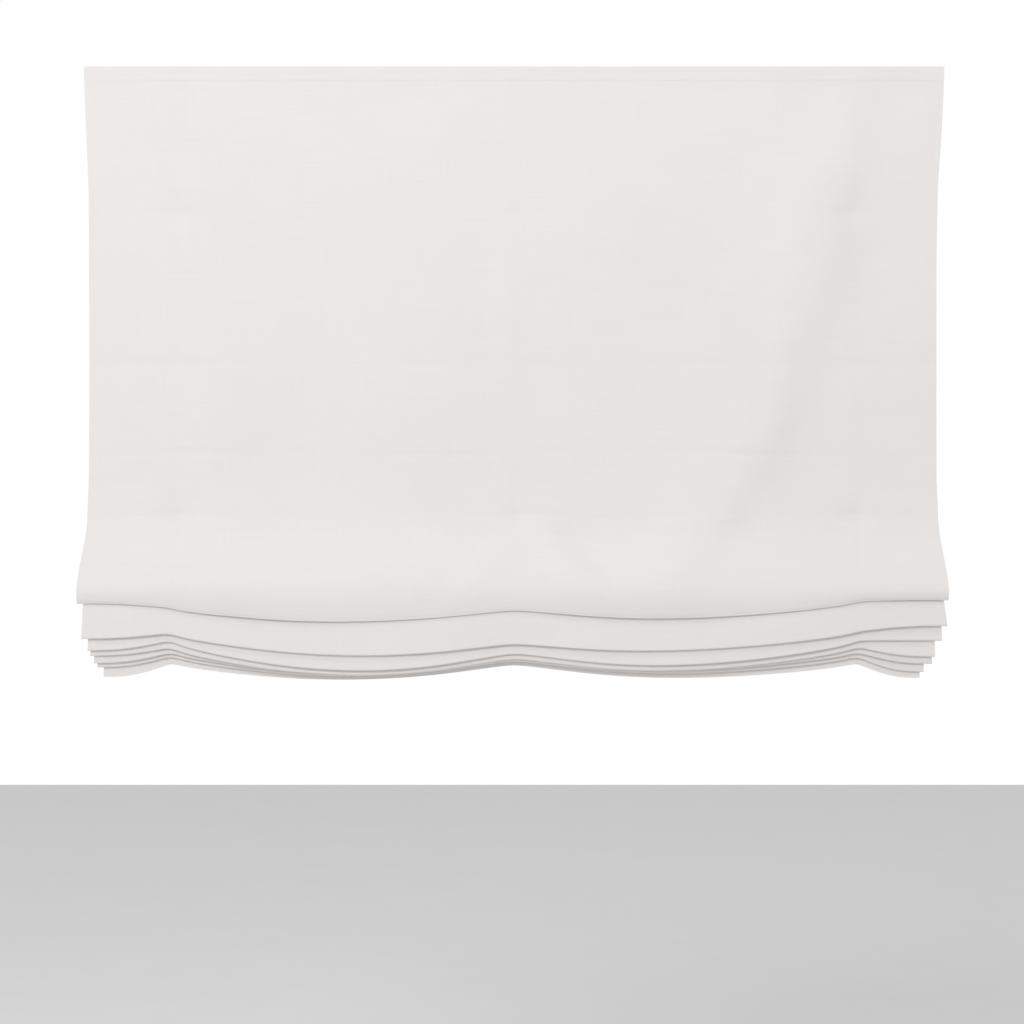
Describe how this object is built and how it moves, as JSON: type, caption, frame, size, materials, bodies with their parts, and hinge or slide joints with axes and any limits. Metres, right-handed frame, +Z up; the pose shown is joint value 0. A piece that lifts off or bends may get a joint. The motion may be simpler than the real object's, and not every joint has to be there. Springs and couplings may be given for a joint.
{
  "type": "roman blind",
  "caption": "Relaxed roman blind in plain off-white cloth, half raised on three lift cords, with a clip-in head rail and a hidden chain drive.",
  "frame": {"origin": "middle of the centre bracket's back face, level with the head rail's axis", "axes": "+X to the right along the head rail as seen from the room, -Y into the room, +Z up"},
  "size_m": [1.2, 0.072, 0.844],
  "materials": {
    "cloth": "matt, slightly sheer plain weave with slubs",
    "ring_tape": "woven narrow tape",
    "cord": "braided polyester",
    "hook_tape": "hooked nylon",
    "loop_tape": "napped nylon",
    "rail_aluminium": "satin white powder coat",
    "zinc_steel": "zinc plated",
    "spring_steel": "polished spring steel",
    "white_plastic": "moulded, fine grain",
    "grey_nylon": "moulded nylon",
    "clear_plastic": "clear moulded"
  },
  "bodies": {
    "head": {"head_rail": "rail_aluminium", "end_cap_left": "white_plastic", "leaf_rivets": "zinc_steel", "hook_tape": "hook_tape", "loop_tape": "loop_tape", "control_housing": "white_plastic", "control_cover": "white_plastic", "cover_screws": "zinc_steel", "clutch_spindle": "grey_nylon", "cloth_panel": "cloth", "ring_tapes_upper": "ring_tape", "bracket_left": "zinc_steel", "bracket_centre": "zinc_steel", "bracket_right": "zinc_steel", "bracket_leaf_left": "spring_steel", "bracket_leaf_centre": "spring_steel", "bracket_leaf_right": "spring_steel", "drum_cradle_left": "white_plastic", "drum_cradle_centre": "white_plastic", "drum_cradle_right": "white_plastic", "cord_eyelet_left": "white_plastic", "cord_eyelet_centre": "white_plastic", "cord_eyelet_right": "white_plastic", "lift_cord_left": "cord", "lift_cord_centre": "cord", "lift_cord_right": "cord"},
    "drive": {"drive_shaft": "zinc_steel", "shaft_bush": "white_plastic", "chain_wheel": "grey_nylon", "output_hub": "grey_nylon", "clutch_spring": "spring_steel", "cord_drum_left": "grey_nylon", "cord_drum_centre": "grey_nylon", "cord_drum_right": "grey_nylon", "wound_cord_left": "cord", "wound_cord_centre": "cord", "wound_cord_right": "cord"},
    "row_1": {"ring_row_1": "clear_plastic"},
    "row_2": {"ring_row_2": "clear_plastic"},
    "pack": {"cloth_folds": "cloth", "ring_tapes_lower": "ring_tape", "ring_row_3": "clear_plastic", "ring_row_4": "clear_plastic", "ring_row_5": "clear_plastic", "ring_row_6": "clear_plastic", "ring_row_7": "clear_plastic", "ring_row_8": "clear_plastic", "ring_row_9": "clear_plastic", "cord_adjuster_left": "white_plastic", "cord_adjuster_centre": "white_plastic", "cord_adjuster_right": "white_plastic"}
  },
  "joints": [
    {"name": "pack_lift", "type": "slide", "parent": "head", "child": "pack", "axis": [0, 0, 1], "range_m": [0, 0.55], "deforming": ["cloth_panel", "ring_tapes_upper", "lift_cord_left", "lift_cord_centre", "lift_cord_right"]},
    {"name": "row_1_lift", "type": "slide", "parent": "head", "child": "row_1", "axis": [0, 0, 1], "range_m": [0, 0.1674]},
    {"name": "row_2_lift", "type": "slide", "parent": "head", "child": "row_2", "axis": [0, 0, 1], "range_m": [0, 0.359]},
    {"name": "drive_turn", "type": "hinge", "parent": "head", "child": "drive", "pos_m": [0, -0.018, 0], "axis": [1, 0, 0], "range_deg": [0, 3266.6]}
  ],
  "couplings": [
    {"joint": "row_1_lift", "follows": "pack_lift", "ratio": 0.30348},
    {"joint": "row_2_lift", "follows": "pack_lift", "ratio": 0.65174},
    {"joint": "drive_turn", "follows": "pack_lift", "rad_per_m": 103.63}
  ]
}
